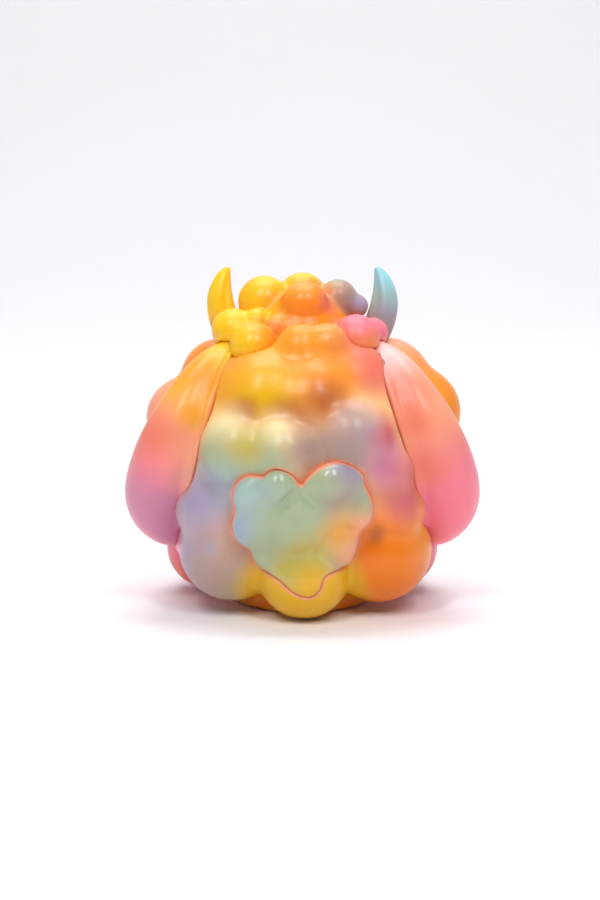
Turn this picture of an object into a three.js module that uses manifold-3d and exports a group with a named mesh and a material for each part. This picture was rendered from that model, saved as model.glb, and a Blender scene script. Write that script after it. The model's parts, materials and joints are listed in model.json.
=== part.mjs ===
// A soft-vinyl art toy: a ball-shaped creature covered in cloud lobes, with a cap of curls,
// two horns, two long lop ears and a scalloped heart on its back.
// Millimetres, +Z up, standing on z = 0. The back faces -Y, the face looks along +Y.
// Every skin plugs into a hole in the hollow ball by a neck with a flange behind the wall.
import * as THREE from "three";
import { mergeVertices } from "three/addons/utils/BufferGeometryUtils.js";
import Module from "manifold-3d";

const wasm = await Module();
wasm.setup();

// ---- Driving dimensions ------------------------------------------------------------------

const BALL_RADIUS = 45; // smooth ball under the lobes
const WALL = 3; // vinyl thickness of the ball
const GAP = 0.3; // clearance between pieces that fit together
const STAND_HEIGHT = 5; // lowest point of the smooth ball above the ground
const SINK = 1; // how far the parts of one piece run into each other where they join

const BASE_RADIUS = 20; // flat disc that the toy stands on
const BASE_THICKNESS = 3;
const BASE_NECK_RADIUS = 15;
const BASE_RIM = 4; // how far the ring around the disc goes out
const GROUND_CLEARANCE = 0.6; // everything but the disc stays this far off the ground

const FLANGE = 1.4; // how far a flange reaches out past its neck
const FLANGE_THICKNESS = 1.6;
const FLANGE_PLAY = 0.8; // from the wall's inner side to the flange behind it

const CAP_NECK_RADIUS = 11;
const CAP_DOME_RADIUS = 18; // smooth dome that the curls stand on
const CAP_DOME_PROUD = 12;
const CAP_PEG_REACH = 4; // how far the cap's neck reaches into the dome

const HORN_RADIUS = 5.1;
const HORN_RISE = 23.2; // height of the tip above the ball, along the horn's peg
const HORN_CURL = 10.6; // how far the tip leans inwards
const HORN_LONGITUDE = 100;
const HORN_LATITUDE = 59;
const HORN_PEG_RADIUS = 2.8;
const HORN_PEG_REACH = 2; // how far the peg reaches into the horn
const HORN_STRAIGHT = 0.75; // share of the rise that steers the horn before it leans
const HORN_TAPER = { start: 2.6, end: 0.75 }; // higher start: the horn stays thick for longer
const HORN_TIP = 0.1;
const HORN_SEAT = 1.2; // the flat collar under a horn stands this far out of the ball
const HORN_SEAT_RIM = 1; // and this far out around the horn

const EAR_LIFT = 1.4; // gap between the ball and the flat inner side of an ear
const EAR_FULLNESS = 11.6; // half width of an ear at its widest
const EAR_ROOT = { longitude: 65, latitude: 54 };
const EAR_PEG_RADIUS = 3;
const EAR_PEG_REACH = 1.5; // how far the peg reaches into the ear
const EAR_SWING = { back: 0, forward: 12 }; // degrees that the lobes leave room for

const HEART_WIDTH = 46.8;
const HEART_DROP = 16; // middle of the heart below the middle of the ball
const HEART_PROUD = 6; // how far the heart stands out from the ball
const HEART_OVER_LOBE = 0.5; // how far it stands out from the lobe below it
const HEART_PEG_RADIUS = 2.6;
const HEART_PEG_SPACING = 20;
const HEART_PEG_RISE = 8; // pegs above the middle of the heart

const FACE_WIDTH = 44;
const FACE_HEIGHT = 33;
const FACE_RISE = 9; // middle of the face above the middle of the ball
const FACE_PROUD = 5;
const FACE_PEG_RADIUS = 2.6;
const FACE_PEG_DROP = 6; // pegs below the middle of the face
const EYE_RADIUS = 3.2;
const EYE_SPACING = 20;
const EYE_RISE = 2;
const NOSE_RADIUS = 2.4;
const NOSE_DROP = 2;

const FOOT_RADIUS = 14.5;
const FOOT_PLACE = { across: 33, forward: 12 };
const FOOT_LIFT = 1; // the round foot would hang this far off the ground
const TOE_RADIUS = 10.4;
const TOE_PLACE = { inwards: 5, forward: 9, down: 4 }; // from the middle of the foot
const FOOT_PEG_RADIUS = 3.5;
const FOOT_PEG_REACH = 3; // how far the peg reaches into the foot

const MAGNET_RADIUS = 3;
const MAGNET_THICKNESS = 2;
const MAGNET_PLACE = { longitude: 43, latitude: -40 };

const SIDES = [-1, 1]; // left is -X, right is +X
const CENTRE = new THREE.Vector3(0, 0, BALL_RADIUS + STAND_HEIGHT);
const HEART_MIDDLE = CENTRE.z - HEART_DROP;
const FACE_MIDDLE = CENTRE.z + FACE_RISE;

// Cloud lobes: longitude from the middle of the back towards +X, latitude, radius, and how far
// the lobe's top stands out from the ball.
const BODY_LOBES = [
  // back of the head
  [-27, 41, 17.5, 7.8],
  [7, 40, 17, 6.2],
  [41, 48, 14, 6.6],
  // middle row of the back
  [-32, 12, 13, 8],
  [-9, 12, 12, 6.4],
  [25, 18, 14, 8.4],
  [39, 1, 9.5, 7.3],
  // around the heart
  [-50, -18, 14, 8.5],
  [48, -17, 11, 8.1],
  // bottom of the back
  [-52, -43, 18, 14],
  [1, -50, 15.5, 15.2],
  [54, -42, 18, 15.5],
  // sides
  [-108, 41, 13.5, 8],
  [-103, 16, 14.5, 11.8],
  [107, 39, 15, 9.3],
  [103, 19, 16, 13.2],
  [-80, -34, 14, 9],
  [80, -34, 14, 9],
  // front, around the face
  [-129, 3, 15, 8.5],
  [129, 3, 15, 8.5],
  [-145, -22, 14, 9],
  [145, -22, 14, 9],
  [180, -32, 14, 10],
  [-138, 38, 15, 9],
  [138, 38, 15, 9],
  [180, 54, 15, 9],
];
const BOTTOM_LOBE = BODY_LOBES[10];

const CURLS = [
  // crown
  [-99, 76, 8.8, 18.4],
  [180, 84, 8.5, 17.8],
  [5, 83, 8.3, 16.1],
  [104, 77, 6.5, 16.9],
  [99, 70, 4, 13.6],
  // fringe over the back, from left to right
  [-71, 60, 7.2, 11.9],
  [-59, 69, 5, 9.2],
  [-38, 76, 3.5, 5.4],
  [-49, 60, 7.2, 5.3],
  [2, 73, 9, 5.8],
  [48, 71, 7, 7.5],
  [59, 66, 7, 8.7],
  [71, 60, 5.2, 8.3],
  // fringe over the front
  [-150, 68, 7.5, 8],
  [150, 68, 7.5, 8],
  [180, 66, 7, 7.5],
];

// Middle line of an ear, from root to tip: longitude, latitude, and how far the middle line lies
// out from the ball. The ear hangs at the back of the side, its tip swept forwards.
const EAR_LINE = [
  [66, 58, 1],
  [61, 42, 2.4],
  [58, 22, 4.4],
  [63, 3, 6],
  [73, -14, 6.9],
  [81, -31, 5.4],
];
const EAR_WIDEST = 0.74; // where along its length an ear is widest
const EAR_ROOT_SHARE = 0.34; // half width at the root, as a share of the fullness
const EAR_SWELL = 1.2; // higher: the ear stays narrow for longer
const EAR_ROOM_BEYOND = 4; // degrees by which the room for an ear is longer at each end

// The heart's edge as it would lie flat, about its middle. No part of it repeats, so each hollow
// and each scallop has its own points.
const HEART_EDGE = [
  [-0.7, 15],
  [-3.5, 18.7],
  [-8, 20.6],
  [-11.2, 19.3],
  [-13, 17.6],
  [-18, 17.6],
  [-21.6, 14.6],
  [-22.9, 10.3],
  [-22.2, 5.2],
  [-23.4, -0.4],
  [-21.6, -5.4],
  [-18, -8.2],
  [-16.4, -12.5],
  [-12.5, -16],
  [-8, -18.2],
  [-3, -22.2],
  [2.2, -23.8],
  [6, -21.3],
  [7.6, -17],
  [12.5, -15.2],
  [16.5, -12.6],
  [18.4, -7],
  [19, -3.2],
  [22.2, 0.8],
  [23.4, 5.2],
  [22.3, 10],
  [20.3, 14.2],
  [19.7, 17.6],
  [15.5, 21.4],
  [10, 22.4],
  [4.8, 20.2],
  [1.2, 17],
];
const HEART_EDGE_WIDTH = 46.8; // width of the edge as it is written here

// ---- Solids ------------------------------------------------------------------------------

function solid(geometry) {
  const bare = geometry.index ? geometry.toNonIndexed() : geometry.clone();
  bare.deleteAttribute("normal");
  bare.deleteAttribute("uv");
  const merged = mergeVertices(bare, 1e-4);
  return new wasm.Manifold(
    new wasm.Mesh({
      numProp: 3,
      vertProperties: merged.attributes.position.array,
      triVerts: new Uint32Array(merged.index.array),
    }),
  );
}

function union(solids) {
  return solids.reduce((sum, next) => sum.add(next));
}

function geometryOf(made) {
  const { vertProperties, triVerts, numProp } = made.getMesh();
  const geometry = new THREE.BufferGeometry();
  const buffer = new THREE.InterleavedBuffer(vertProperties, numProp);
  geometry.setAttribute("position", new THREE.InterleavedBufferAttribute(buffer, 3, 0));
  geometry.setIndex(Array.from(triVerts));
  const flat = geometry.toNonIndexed();
  flat.computeVertexNormals();
  return flat;
}

// Unit vector from the middle of the ball. Longitude 0 is the back, 90 is +X, 180 the face.
function direction(longitude, latitude) {
  const around = THREE.MathUtils.degToRad(longitude);
  const up = THREE.MathUtils.degToRad(latitude);
  return new THREE.Vector3(
    Math.sin(around) * Math.cos(up),
    -Math.cos(around) * Math.cos(up),
    Math.sin(up),
  );
}

function onBall(longitude, latitude, distance) {
  return direction(longitude, latitude).multiplyScalar(distance).add(CENTRE);
}

function sphere(centre, radius, detail = 2) {
  const geometry = new THREE.IcosahedronGeometry(radius, detail);
  geometry.translate(centre.x, centre.y, centre.z);
  return solid(geometry);
}

function ball(radius, detail = 5) {
  return sphere(CENTRE, radius, detail);
}

// A cylinder from one point to another.
function rod(from, to, radius, sides = 14) {
  const along = to.clone().sub(from);
  const geometry = new THREE.CylinderGeometry(radius, radius, along.length(), sides);
  const turn = new THREE.Quaternion().setFromUnitVectors(
    new THREE.Vector3(0, 1, 0),
    along.clone().normalize(),
  );
  geometry.applyQuaternion(turn);
  const middle = from.clone().add(to).multiplyScalar(0.5);
  geometry.translate(middle.x, middle.y, middle.z);
  return solid(geometry);
}

function disc(radius, bottom, top, sides = 48) {
  return rod(new THREE.Vector3(0, 0, bottom), new THREE.Vector3(0, 0, top), radius, sides);
}

const SMALL_LOBE = 9; // a lobe up to this radius needs fewer faces

function lobes(rows, extra = 0) {
  return union(
    rows.map(([longitude, latitude, radius, proud]) => {
      const place = onBall(longitude, latitude, BALL_RADIUS + proud - radius);
      return sphere(place, radius + extra, radius > SMALL_LOBE ? 2 : 1);
    }),
  );
}

// A round tapered body laid along a curve, its section turned so that "up" stays up.
function bent(curve, radiusAt, up, steps, sides) {
  const profile = [];
  for (let i = 0; i <= steps; i += 1) {
    const share = (1 - Math.cos((Math.PI * i) / steps)) / 2;
    const ends = i === 0 || i === steps;
    profile.push(new THREE.Vector2(ends ? 0 : radiusAt(share), share));
  }
  const geometry = new THREE.LatheGeometry(profile, sides);
  const position = geometry.attributes.position;
  const point = new THREE.Vector3();
  for (let i = 0; i < position.count; i += 1) {
    point.fromBufferAttribute(position, i);
    const share = THREE.MathUtils.clamp(point.y, 0, 1);
    const tangent = curve.getTangent(share);
    const over = up(curve.getPoint(share)).projectOnPlane(tangent).normalize();
    const aside = new THREE.Vector3().crossVectors(tangent, over);
    const place = curve.getPoint(share).addScaledVector(aside, point.x).addScaledVector(over, point.z);
    position.setXYZ(i, place.x, place.y, place.z);
  }
  return solid(geometry);
}

// ---- The neck and flange that hold a piece in the wall of the ball --------------------------

const CAVITY_RADIUS = BALL_RADIUS - WALL;

// The neck runs along the line from "outside" towards "inside", the place where its axis meets
// the cavity. The flange sits behind the wall.
function plug(outside, inside, radius) {
  const inwards = inside.clone().sub(outside).normalize();
  const dome = (radius + FLANGE) ** 2 / (2 * CAVITY_RADIUS); // the wall curves towards the flange
  const behind = inside.clone().addScaledVector(inwards, FLANGE_PLAY + dome);
  const end = behind.clone().addScaledVector(inwards, FLANGE_THICKNESS);
  return rod(outside, end, radius).add(rod(behind, end, radius + FLANGE));
}

function plugHole(outside, inside, radius) {
  const inwards = inside.clone().sub(outside).normalize();
  return rod(outside, inside.clone().addScaledVector(inwards, WALL), radius + GAP);
}

// A peg square to the wall, at the place that has this x and this height. It reaches "length"
// out of the wall, into the piece that it holds.
function radialPeg(x, height, facing, length) {
  const up = height - CENTRE.z;
  const along = new THREE.Vector3(x, facing * Math.sqrt(BALL_RADIUS ** 2 - x ** 2 - up ** 2), up);
  const out = along.normalize();
  return {
    outside: CENTRE.clone().addScaledVector(out, BALL_RADIUS + length),
    inside: CENTRE.clone().addScaledVector(out, CAVITY_RADIUS),
  };
}

// ---- What everything seats on: the ball, and the ring that carries the base disc -------------

const RING_RADIUS = BASE_RADIUS + BASE_RIM;
const RING_TOP = CENTRE.z - Math.sqrt(BALL_RADIUS ** 2 - RING_RADIUS ** 2) + SINK;

function belowGround() {
  return disc(BALL_RADIUS * 2, -BALL_RADIUS, GROUND_CLEARANCE);
}

function seat(extra = 0) {
  return ball(BALL_RADIUS + extra).add(disc(RING_RADIUS + extra, GROUND_CLEARANCE, RING_TOP));
}

// ---- Ears ----------------------------------------------------------------------------------

const EAR_INNER_RADIUS = BALL_RADIUS + EAR_LIFT;

// "beyond" lengthens the line by so many degrees at the root and at the tip.
function earCurve(side, beyond = 0) {
  const last = EAR_LINE.length - 1;
  return new THREE.CatmullRomCurve3(
    EAR_LINE.map(([longitude, latitude, out], i) => {
      const shift = { 0: beyond, [last]: -beyond }[i] ?? 0;
      return onBall(side * longitude, latitude + shift, BALL_RADIUS + out);
    }),
  );
}

// Half width along the ear: it swells from the root to the widest place and ends in a round tip.
function earRadiusAt(share) {
  if (share > EAR_WIDEST) {
    return EAR_FULLNESS * Math.sqrt(1 - ((share - EAR_WIDEST) / (1 - EAR_WIDEST)) ** 2);
  }
  const swell = Math.sin((Math.PI / 2) * (share / EAR_WIDEST)) ** EAR_SWELL;
  return EAR_FULLNESS * THREE.MathUtils.lerp(EAR_ROOT_SHARE, 1, swell);
}

function earBody(curve, extra = () => 0, steps = 16, sides = 18) {
  const radial = (point) => point.clone().sub(CENTRE);
  return bent(curve, (share) => earRadiusAt(share) + extra(share), radial, steps, sides);
}

function earAxis(side) {
  return direction(side * EAR_ROOT.longitude, EAR_ROOT.latitude);
}

// The room that an ear sweeps: the ear half way through its swing, widened towards the tip by
// what it moves to either side.
function earRoom(side) {
  const half = THREE.MathUtils.degToRad((EAR_SWING.forward + EAR_SWING.back) / 2);
  const middle = THREE.MathUtils.degToRad((EAR_SWING.forward - EAR_SWING.back) / 2);
  const curve = earCurve(side, EAR_ROOM_BEYOND);
  const sweep = curve.getLength() * Math.sin(half);
  const room = earBody(curve, (share) => GAP * 2 + share * sweep, 10, 14);
  const turn = new THREE.Matrix4().makeRotationAxis(earAxis(side), side * middle);
  const out = new THREE.Matrix4().makeTranslation(CENTRE.x, CENTRE.y, CENTRE.z);
  const back = out.clone().invert();
  return room.transform(out.multiply(turn).multiply(back).toArray());
}

function earPeg(side) {
  const root = earAxis(side);
  return {
    outside: CENTRE.clone().addScaledVector(root, EAR_INNER_RADIUS + EAR_PEG_REACH),
    inside: CENTRE.clone().addScaledVector(root, CAVITY_RADIUS),
  };
}

function ear(side) {
  const { outside, inside } = earPeg(side);
  return earBody(earCurve(side)).subtract(ball(EAR_INNER_RADIUS)).add(plug(outside, inside, EAR_PEG_RADIUS));
}

// ---- Horns ---------------------------------------------------------------------------------

function hornPlace(side) {
  const out = direction(side * HORN_LONGITUDE, HORN_LATITUDE);
  const inwards = new THREE.Vector3(-side, 0, 0).projectOnPlane(out).normalize();
  return { out, inwards, root: CENTRE.clone().addScaledVector(out, BALL_RADIUS) };
}

function horn(side) {
  const { out, inwards, root } = hornPlace(side);
  const at = (rise, curl) =>
    root.clone().addScaledVector(out, rise).addScaledVector(inwards, curl);
  const curve = new THREE.QuadraticBezierCurve3(
    at(0, 0),
    at(HORN_RISE * HORN_STRAIGHT, 0),
    at(HORN_RISE, HORN_CURL),
  );
  const taper = (share) =>
    HORN_RADIUS * (1 - share ** HORN_TAPER.start) ** HORN_TAPER.end + HORN_TIP;
  const body = bent(curve, taper, () => new THREE.Vector3(0, 1, 0), 16, 16);
  const below = rod(at(-HORN_RADIUS, 0), at(HORN_SEAT + GAP, 0), HORN_RADIUS * 2);
  const { outside, inside } = hornPeg(side);
  return body.subtract(below).add(plug(outside, inside, HORN_PEG_RADIUS));
}

// A collar for the horn to turn on, and the round room around the horn's foot.
function hornCollar(side) {
  const { out, root } = hornPlace(side);
  return rod(
    root.clone().addScaledVector(out, -SINK),
    root.clone().addScaledVector(out, HORN_SEAT),
    HORN_RADIUS + HORN_SEAT_RIM,
    28,
  );
}

function hornRoom(side) {
  const { out, root } = hornPlace(side);
  return rod(
    root.clone().addScaledVector(out, HORN_SEAT),
    root.clone().addScaledVector(out, HORN_RISE),
    HORN_RADIUS + HORN_SEAT_RIM,
    28,
  );
}

function hornPeg(side) {
  const { out, root } = hornPlace(side);
  return {
    outside: root.clone().addScaledVector(out, HORN_SEAT + HORN_PEG_REACH),
    inside: root.clone().addScaledVector(out, -WALL),
  };
}

// ---- Heart ---------------------------------------------------------------------------------

// The heart's edge grown outwards by "extra", as a prism along Y through the back of the ball.
// The edge runs anticlockwise seen from behind, so outwards is to the right of its run.
function heartPrism(extra) {
  const scale = HEART_WIDTH / HEART_EDGE_WIDTH;
  const points = HEART_EDGE.map(([x, z]) => new THREE.Vector3(x * scale, z * scale, 0));
  const edge = new THREE.CatmullRomCurve3(points, true, "centripetal").getPoints(56).slice(0, -1);
  const grown = edge.map((point, i) => {
    const before = edge[(i + edge.length - 1) % edge.length];
    const after = edge[(i + 1) % edge.length];
    const along = after.clone().sub(before).normalize();
    return new THREE.Vector2(point.x + along.y * extra, point.y - along.x * extra);
  });
  const geometry = new THREE.ExtrudeGeometry(new THREE.Shape(grown), {
    depth: BALL_RADIUS * 2,
    bevelEnabled: false,
  });
  geometry.rotateX(Math.PI / 2);
  geometry.translate(0, 0, HEART_MIDDLE);
  return solid(geometry);
}

function bottomLobe(extra) {
  return lobes([BOTTOM_LOBE], extra);
}

function heartOuter() {
  return ball(BALL_RADIUS + HEART_PROUD).add(bottomLobe(HEART_OVER_LOBE));
}

function heartFloor(extra) {
  return ball(BALL_RADIUS + extra).add(bottomLobe(-WALL + extra));
}

function heartPegs() {
  return SIDES.map((side) =>
    radialPeg((side * HEART_PEG_SPACING) / 2, HEART_MIDDLE + HEART_PEG_RISE, -1, HEART_PROUD / 2),
  );
}

function heart() {
  const plate = heartOuter().intersect(heartPrism(0)).subtract(heartFloor(GAP));
  return union([
    plate,
    ...heartPegs().map(({ outside, inside }) => plug(outside, inside, HEART_PEG_RADIUS)),
  ]);
}

// ---- Face ----------------------------------------------------------------------------------

function facePrism(extra) {
  const oval = new THREE.Shape();
  oval.absellipse(0, 0, FACE_WIDTH / 2 + extra, FACE_HEIGHT / 2 + extra, 0, Math.PI * 2);
  const geometry = new THREE.ExtrudeGeometry(oval, {
    depth: BALL_RADIUS * 2,
    bevelEnabled: false,
    curveSegments: 24,
  });
  geometry.rotateX(-Math.PI / 2);
  geometry.translate(0, 0, FACE_MIDDLE);
  return solid(geometry);
}

function onFace(x, z) {
  const distance = BALL_RADIUS + FACE_PROUD;
  const forward = Math.sqrt(distance ** 2 - x ** 2 - (z - CENTRE.z) ** 2);
  return new THREE.Vector3(x, forward, z);
}

function eyePlace(side) {
  return onFace((side * EYE_SPACING) / 2, FACE_MIDDLE + EYE_RISE);
}

const nosePlace = onFace(0, FACE_MIDDLE - NOSE_DROP);

function facePegs() {
  return SIDES.map((side) =>
    radialPeg((side * FACE_WIDTH) / 4, FACE_MIDDLE - FACE_PEG_DROP, 1, FACE_PROUD / 2),
  );
}

function face() {
  const plate = ball(BALL_RADIUS + FACE_PROUD)
    .intersect(facePrism(0))
    .subtract(ball(BALL_RADIUS + GAP));
  const sockets = union([
    sphere(eyePlace(-1), EYE_RADIUS + GAP),
    sphere(eyePlace(1), EYE_RADIUS + GAP),
    sphere(nosePlace, NOSE_RADIUS + GAP),
  ]);
  return union([
    plate.subtract(sockets),
    ...facePegs().map(({ outside, inside }) => plug(outside, inside, FACE_PEG_RADIUS)),
  ]);
}

// ---- Feet ----------------------------------------------------------------------------------

function footCentre(side) {
  return new THREE.Vector3(side * FOOT_PLACE.across, FOOT_PLACE.forward, FOOT_RADIUS + FOOT_LIFT);
}

function footPeg(side) {
  const inwards = CENTRE.clone().sub(footCentre(side)).normalize();
  const inside = CENTRE.clone().addScaledVector(inwards, -CAVITY_RADIUS);
  return { outside: inside.clone().addScaledVector(inwards, -WALL - FOOT_PEG_REACH), inside };
}

function footBody(side, extra) {
  const { inwards, forward, down } = TOE_PLACE;
  const toe = footCentre(side).add(new THREE.Vector3(-side * inwards, forward, -down));
  return sphere(footCentre(side), FOOT_RADIUS + extra).add(sphere(toe, TOE_RADIUS + extra));
}

function foot(side) {
  const { outside, inside } = footPeg(side);
  return footBody(side, 0)
    .subtract(seat(GAP))
    .subtract(belowGround())
    .add(plug(outside, inside, FOOT_PEG_RADIUS));
}

// ---- Cap of curls ---------------------------------------------------------------------------

const capPeg = {
  outside: CENTRE.clone().add(new THREE.Vector3(0, 0, BALL_RADIUS + CAP_PEG_REACH)),
  inside: CENTRE.clone().add(new THREE.Vector3(0, 0, CAVITY_RADIUS)),
};

function dome(extra) {
  const middle = CENTRE.clone().setZ(CENTRE.z + BALL_RADIUS - CAP_DOME_RADIUS + CAP_DOME_PROUD);
  return sphere(middle, CAP_DOME_RADIUS + extra);
}

// The largest of the solids that a cut leaves. The rest are crumbs of curl beyond an ear's root.
function withoutCrumbs(made) {
  return made.decompose().reduce((best, next) => (next.volume() > best.volume() ? next : best));
}

function cap() {
  const curls = lobes(CURLS)
    .add(dome(0))
    .subtract(ball(BALL_RADIUS + GAP))
    .subtract(union(SIDES.flatMap((side) => [hornRoom(side), earRoom(side)])));
  return withoutCrumbs(curls).add(plug(capPeg.outside, capPeg.inside, CAP_NECK_RADIUS));
}

function capRoom() {
  return lobes(CURLS, GAP).add(dome(GAP));
}

// ---- Base ----------------------------------------------------------------------------------

const RING_CAVITY_RADIUS = BASE_NECK_RADIUS + BASE_RIM;
const RING_FLOOR = BASE_THICKNESS + GAP + WALL;

function base() {
  return union([
    disc(BASE_RADIUS, 0, BASE_THICKNESS),
    disc(BASE_NECK_RADIUS, BASE_THICKNESS - SINK, RING_FLOOR + GAP + FLANGE_THICKNESS),
    disc(BASE_NECK_RADIUS + FLANGE, RING_FLOOR + GAP, RING_FLOOR + GAP + FLANGE_THICKNESS),
  ]);
}

function baseRoom() {
  return disc(BASE_RADIUS + GAP, -SINK, BASE_THICKNESS + GAP).add(
    disc(BASE_NECK_RADIUS + GAP, 0, RING_FLOOR + SINK),
  );
}

// ---- Body ----------------------------------------------------------------------------------

function pegHoles() {
  const pegs = [
    { ...capPeg, radius: CAP_NECK_RADIUS },
    ...heartPegs().map((peg) => ({ ...peg, radius: HEART_PEG_RADIUS })),
    ...facePegs().map((peg) => ({ ...peg, radius: FACE_PEG_RADIUS })),
    ...SIDES.map((side) => ({ ...footPeg(side), radius: FOOT_PEG_RADIUS })),
    ...SIDES.map((side) => ({ ...hornPeg(side), radius: HORN_PEG_RADIUS })),
    ...SIDES.map((side) => ({ ...earPeg(side), radius: EAR_PEG_RADIUS })),
  ];
  return union(pegs.map(({ outside, inside, radius }) => plugHole(outside, inside, radius)));
}

function body() {
  const rooms = union([
    capRoom(),
    heartPrism(GAP),
    facePrism(GAP),
    ...SIDES.flatMap((side) => [footBody(side, GAP), hornRoom(side), earRoom(side)]),
  ]);
  const cavity = ball(CAVITY_RADIUS, 4).add(disc(RING_CAVITY_RADIUS, RING_FLOOR, CENTRE.z, 32));
  return union([lobes(BODY_LOBES).subtract(rooms), seat(), ...SIDES.map(hornCollar)])
    .subtract(belowGround())
    .subtract(cavity)
    .subtract(baseRoom())
    .subtract(pegHoles());
}

// ---- Magnets ---------------------------------------------------------------------------------

function magnet(side) {
  const out = direction(side * MAGNET_PLACE.longitude, MAGNET_PLACE.latitude);
  const sagitta = MAGNET_RADIUS ** 2 / 2 / CAVITY_RADIUS;
  const outer = CENTRE.clone().addScaledVector(out, CAVITY_RADIUS - 2 * GAP - sagitta);
  return rod(outer.clone().addScaledVector(out, -MAGNET_THICKNESS), outer, MAGNET_RADIUS);
}

// ---- The toy ---------------------------------------------------------------------------------

const toy = new THREE.Group();

function addPiece(name, made, color, roughness = 0.35, metalness = 0) {
  const material = new THREE.MeshStandardMaterial({ color, roughness, metalness });
  const piece = new THREE.Mesh(geometryOf(made), material);
  piece.name = name;
  toy.add(piece);
}

addPiece("body_shell", body(), "#e09a4a");
addPiece("curl_cap", cap(), "#f2a02a");
addPiece("heart_tail", heart(), "#a9b79c", 0.25);
addPiece("face_plate", face(), "#f6d9c2");
addPiece("nose", sphere(nosePlace, NOSE_RADIUS), "#c0506a", 0.2);
addPiece("base_plug", base(), "#d9b070");
for (const [word, side, hornColor, earColor, footColor] of [
  ["left", -1, "#fbbe12", "#e88a6a", "#e8709a"],
  ["right", 1, "#9ccbd2", "#f28a90", "#e8709a"],
]) {
  addPiece(`horn_${word}`, horn(side), hornColor);
  addPiece(`ear_${word}`, ear(side), earColor);
  addPiece(`foot_${word}`, foot(side), footColor);
  addPiece(`eye_${word}`, sphere(eyePlace(side), EYE_RADIUS), "#201820", 0.08);
  addPiece(`magnet_${word}`, magnet(side), "#70747a", 0.4, 1);
}

export default toy;
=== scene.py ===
"""Builds the looks of a soft-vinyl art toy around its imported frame.

The toy is a ball covered in cloud lobes, with a cap of curls, two horns, two lop ears, a scalloped
heart on its back and a small face. Every skin is the surface of a distance field, in millimetres,
drawn as an even mesh of quads, and every paint job is a run of soft sprays.
"""

import json

import bpy
import numpy as np
from bpy.props import FloatProperty, FloatVectorProperty, PointerProperty
from bpy.types import Operator, Panel, PropertyGroup
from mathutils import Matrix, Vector


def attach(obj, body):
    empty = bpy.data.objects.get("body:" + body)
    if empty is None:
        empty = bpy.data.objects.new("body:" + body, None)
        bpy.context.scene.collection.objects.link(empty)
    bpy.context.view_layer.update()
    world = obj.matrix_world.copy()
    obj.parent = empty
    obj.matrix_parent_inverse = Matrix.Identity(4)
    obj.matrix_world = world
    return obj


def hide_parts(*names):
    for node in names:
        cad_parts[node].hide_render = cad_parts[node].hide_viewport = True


bl_info = {
    "name": "Vinyl Cloud Toy",
    "version": (1, 0, 0),
    "blender": (4, 5, 0),
    "location": "View3D > Sidebar > Cloud Toy",
    "description": "Skins, paint and stage for a soft-vinyl toy",
    "category": "Object",
}

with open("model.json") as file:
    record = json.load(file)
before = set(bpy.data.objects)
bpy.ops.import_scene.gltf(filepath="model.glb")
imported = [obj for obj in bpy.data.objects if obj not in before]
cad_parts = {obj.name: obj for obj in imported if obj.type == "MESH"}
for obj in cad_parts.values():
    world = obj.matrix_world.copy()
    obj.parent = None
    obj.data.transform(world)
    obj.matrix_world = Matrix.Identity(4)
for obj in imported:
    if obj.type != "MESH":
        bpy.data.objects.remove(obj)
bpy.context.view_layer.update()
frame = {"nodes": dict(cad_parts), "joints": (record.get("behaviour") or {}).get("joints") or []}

MM = 0.001
BODY = "toy"
SIDES = {"left": -1, "right": 1}


# ---- Places taken from the frame -------------------------------------------------------------


def joint_named(name):
    return next(joint for joint in frame["joints"] if joint["name"] == name)


def ball_middle():
    """The horns' pegs point away from the middle of the ball, and stand on its surface."""
    joint = joint_named("horn_right_twist")
    return np.array(joint["pos_m"]) / MM - np.array(joint["axis"]) * BALL_RADIUS


BALL_RADIUS = 45.0
CENTRE = ball_middle()


def direction(longitude, latitude):
    """Longitude 0 is the middle of the back, 90 is +X and 180 is the face."""
    around, up = np.radians(longitude), np.radians(latitude)
    return np.array([np.sin(around) * np.cos(up), -np.cos(around) * np.cos(up), np.sin(up)])


def on_ball(longitude, latitude, proud):
    return CENTRE + direction(longitude, latitude) * (BALL_RADIUS + proud)


# ---- Sizes and colours that a user would change -----------------------------------------------


def length(name, description, default_mm):
    return FloatProperty(
        name=name, description=description, default=default_mm * MM, min=0.0, unit="LENGTH"
    )


def share(name, description, default):
    return FloatProperty(name=name, description=description, default=default, min=0.0, max=1.0)


def as_light(shown):
    """The light that a colour part (0 to 255 on a screen) stands for."""
    return ((shown / 255 + 0.055) / 1.055) ** 2.4


def colour(name, description, *shown):
    return FloatVectorProperty(
        name=name,
        description=description,
        default=[as_light(part) for part in shown],
        subtype="COLOR",
        size=3,
        min=0.0,
        max=1.0,
    )


class CloudToyShape(PropertyGroup):
    body_softness: length("Lobe softness", "How far body lobes melt into each other", 4.0)
    curl_softness: length("Curl softness", "How far curls melt into each other", 1.9)
    body_fineness: length("Body fineness", "Mesh size of the body's skin", 0.74)
    detail_fineness: length("Detail fineness", "Mesh size of curls, ears, horns and heart", 0.42)
    heart_proud: length("Heart height", "How far the heart stands out from the ball", 4.6)
    heart_rounding: length("Heart rounding", "Roundness of the heart's edge", 2.3)
    ear_lip: length("Ear lip", "Radius of the rolled lip along an ear", 0.9)
    horn_ridge: length("Horn ridges", "Depth of the soft ridges along a horn", 0.35)


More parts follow.
